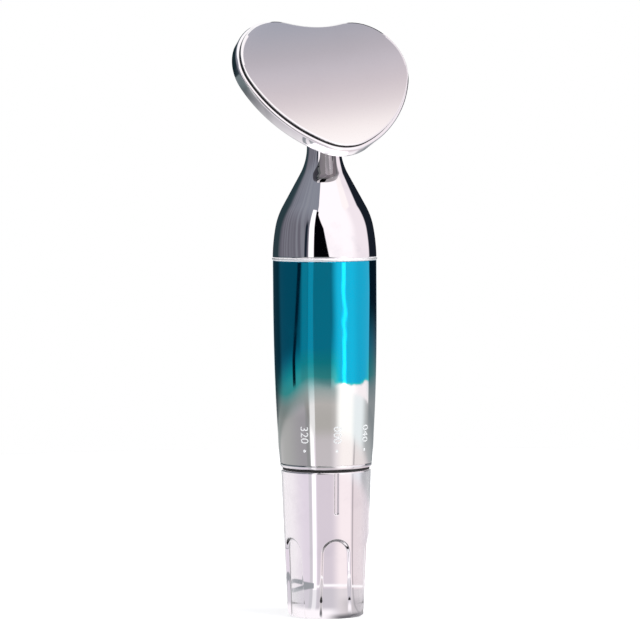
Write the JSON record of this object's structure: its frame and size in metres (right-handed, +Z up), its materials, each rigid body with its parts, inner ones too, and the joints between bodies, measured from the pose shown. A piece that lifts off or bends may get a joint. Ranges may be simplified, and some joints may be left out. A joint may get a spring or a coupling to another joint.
{
  "type": "vibrating facial massager",
  "caption": "Slim battery handle with a twist-switch end cap, a lacquered sleeve, a bell neck and a tilted heart-shaped polished massage head.",
  "frame": {"origin": "centre of the twist cap's flat base, on the handle's axis", "axes": "+Z up the handle towards the head; the head's face looks towards -Y and leans back; +X is to the right of the face as seen from the front"},
  "size_m": [0.0484, 0.0266, 0.1505],
  "materials": {
    "mirror_plate": "polished",
    "fade_lacquer": "gloss",
    "black_plastic": "satin",
    "seal_rubber": "matte",
    "steel": "satin",
    "contact_brass": "satin",
    "cell_jacket": "gloss",
    "cradle_plastic": "satin",
    "magnet": "matte",
    "winding": "satin",
    "weight_brass": "satin",
    "red_insulation": "satin",
    "black_insulation": "satin"
  },
  "bodies": {
    "handle": {"head_face_plate": "mirror_plate", "head_back_shell": "mirror_plate", "stem_pin": "steel", "head_screw": "steel", "neck_shell": "mirror_plate", "collar_ring": "mirror_plate", "sleeve": "fade_lacquer", "lower_trim_ring": "mirror_plate", "battery_tube": "black_plastic", "seal_ring": "seal_rubber", "aa_cell": "cell_jacket", "positive_contact": "contact_brass", "switch_strip": "contact_brass", "motor_cradle": "cradle_plastic", "cradle_screws": "steel", "motor_can": "steel", "motor_end_cap": "black_plastic", "motor_terminals": "contact_brass", "motor_magnets": "magnet", "shaft_bushes": "contact_brass", "positive_lead": "red_insulation", "negative_lead": "black_insulation"},
    "cap": {"twist_cap": "mirror_plate", "cap_contact_strip": "contact_brass", "contact_spring": "steel"},
    "rotor": {"motor_armature": "winding", "motor_shaft": "steel", "eccentric_weight": "weight_brass"}
  },
  "joints": [
    {"name": "cap_twist", "type": "hinge", "parent": "handle", "child": "cap", "pos_m": [0, 0, 0.03], "axis": [0, 0, 1], "range_deg": [-40, 40]},
    {"name": "rotor_spin", "type": "hinge", "parent": "handle", "child": "rotor", "pos_m": [0, 0, 0.08], "axis": [0, 0, 1], "continuous": true}
  ]
}
